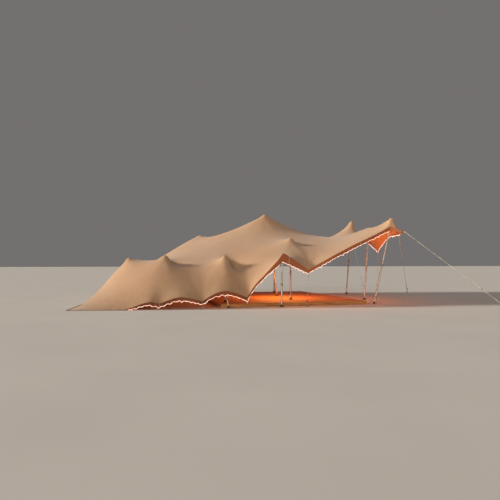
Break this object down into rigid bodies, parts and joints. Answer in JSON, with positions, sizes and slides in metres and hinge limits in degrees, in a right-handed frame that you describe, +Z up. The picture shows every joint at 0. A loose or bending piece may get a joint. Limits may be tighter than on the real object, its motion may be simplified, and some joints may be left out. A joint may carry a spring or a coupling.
{
  "type": "stretch tent",
  "caption": "Freeform stretch fabric tent with low scalloped front, raised open side, leaning poles, guy ropes, string lights and a low timber deck.",
  "frame": {"origin": "underside of the deck's centre bearer, below the tip of the main pole, at ground level", "axes": "+X runs to the right along the open front, +Y runs to the back, +Z up"},
  "size_m": [16.6823, 13.5006, 3.8057],
  "materials": {
    "canopy_fabric": "matt stretch knit, coated",
    "pole_tube": "mill-finish tube with rubber foot and moulded cap",
    "rope": "braided polyester",
    "stake_steel": "galvanised",
    "light_cable": "matt flexible cable",
    "deck_timber": "weathered softwood boards"
  },
  "bodies": {
    "root": {"canopy_strip_1": "canopy_fabric", "canopy_strip_2": "canopy_fabric", "canopy_strip_3": "canopy_fabric", "canopy_strip_4": "canopy_fabric", "canopy_strip_5": "canopy_fabric", "canopy_strip_6": "canopy_fabric", "canopy_strip_7": "canopy_fabric", "canopy_strip_8": "canopy_fabric", "main_pole": "pole_tube", "left_pole": "pole_tube", "back_right_pole": "pole_tube", "front_right_pole": "pole_tube", "front_middle_pole": "pole_tube", "right_pole": "pole_tube", "back_middle_pole": "pole_tube", "front_left_pole_1": "pole_tube", "front_left_pole_2": "pole_tube", "front_left_pole_3": "pole_tube", "back_left_pole_1": "pole_tube", "back_left_pole_2": "pole_tube", "front_arch_pole": "pole_tube", "front_prop": "pole_tube", "back_arch_pole": "pole_tube", "front_right_guy": "rope", "front_right_guy_stake": "stake_steel", "right_side_guy": "rope", "right_side_guy_stake": "stake_steel", "front_tie": "rope", "front_tie_stake": "stake_steel", "right_tie": "rope", "right_tie_stake": "stake_steel", "back_right_guy": "rope", "back_right_guy_stake": "stake_steel", "back_tie": "rope", "back_tie_stake": "stake_steel", "front_hem_peg_1": "rope", "front_hem_peg_2": "rope", "back_hem_peg_1": "rope", "back_hem_peg_2": "rope", "front_string_lights": "light_cable", "right_string_lights": "light_cable", "deck_floor": "deck_timber", "deck_front_fascia": "deck_timber", "deck_back_fascia": "deck_timber", "deck_left_fascia": "deck_timber", "deck_right_fascia": "deck_timber", "deck_centre_bearer": "deck_timber"}
  },
  "joints": []
}
